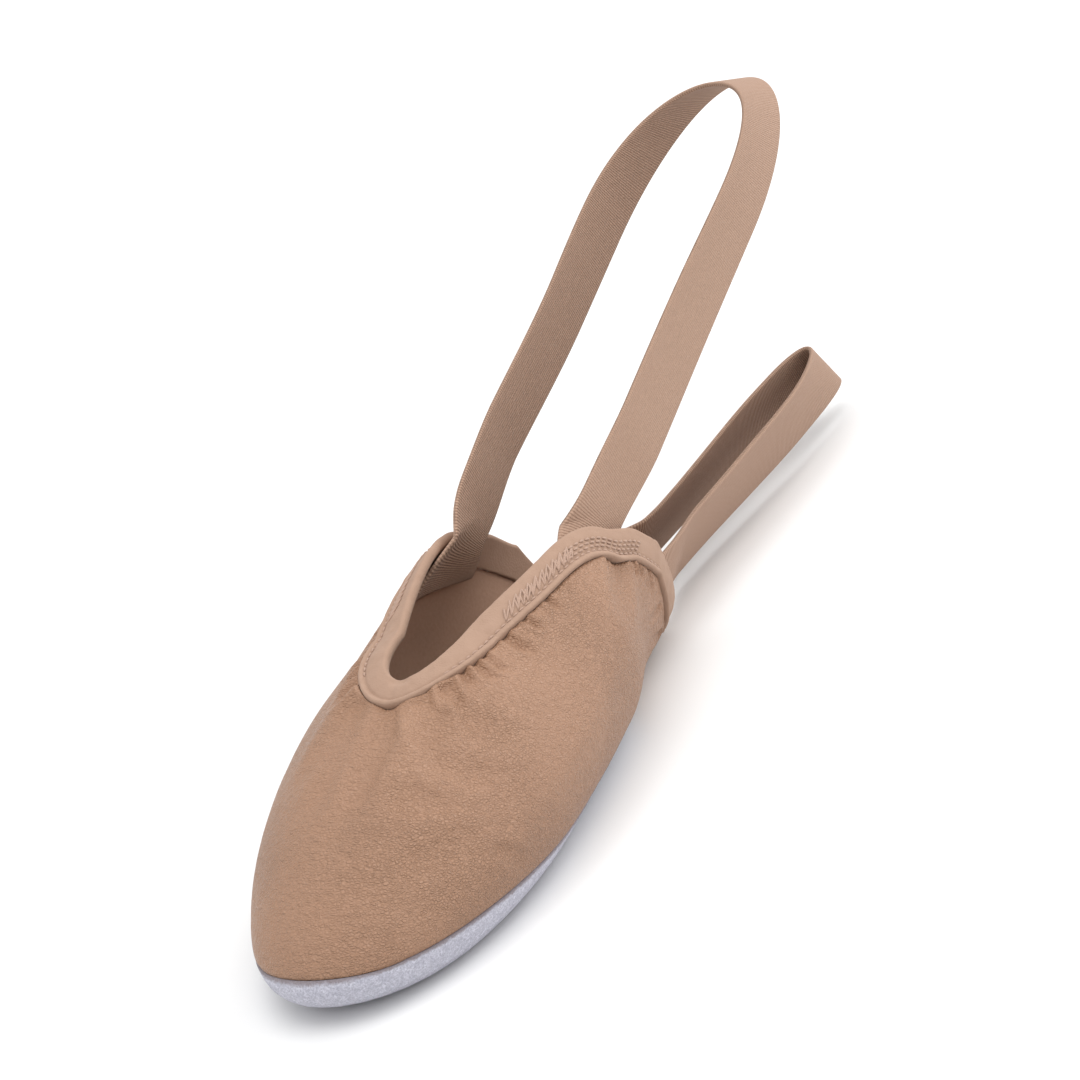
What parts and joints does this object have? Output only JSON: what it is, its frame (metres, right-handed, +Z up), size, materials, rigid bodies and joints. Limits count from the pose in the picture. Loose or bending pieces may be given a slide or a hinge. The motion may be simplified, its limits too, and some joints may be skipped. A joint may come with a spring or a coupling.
{
  "type": "half-sole dance shoe",
  "caption": "Soft leather half-sole dance shoe for the front of the foot, with a thin suede sole, a bound open rear and two elastic heel straps.",
  "frame": {"origin": "on the floor under the ball of the foot, at the middle of the sole's flat underside", "axes": "+Z up, -Y toward the toe, +Y toward the rear and the straps, +X toward the wearer's left"},
  "size_m": [0.064, 0.2425, 0.0835],
  "materials": {
    "upper_leather": "soft pebbled leather, tan",
    "sole_suede": "split suede with a short nap, pale blue grey",
    "insole_lining": "matt cotton lining, dark brown",
    "binding_strip": "soft folded strip, pink beige",
    "elastic": "ribbed woven elastic, tan"
  },
  "bodies": {
    "root": {"upper": "upper_leather", "outsole": "sole_suede", "insole": "insole_lining", "collar_binding": "binding_strip", "heel_strap": "elastic", "lower_strap": "elastic"}
  },
  "joints": []
}
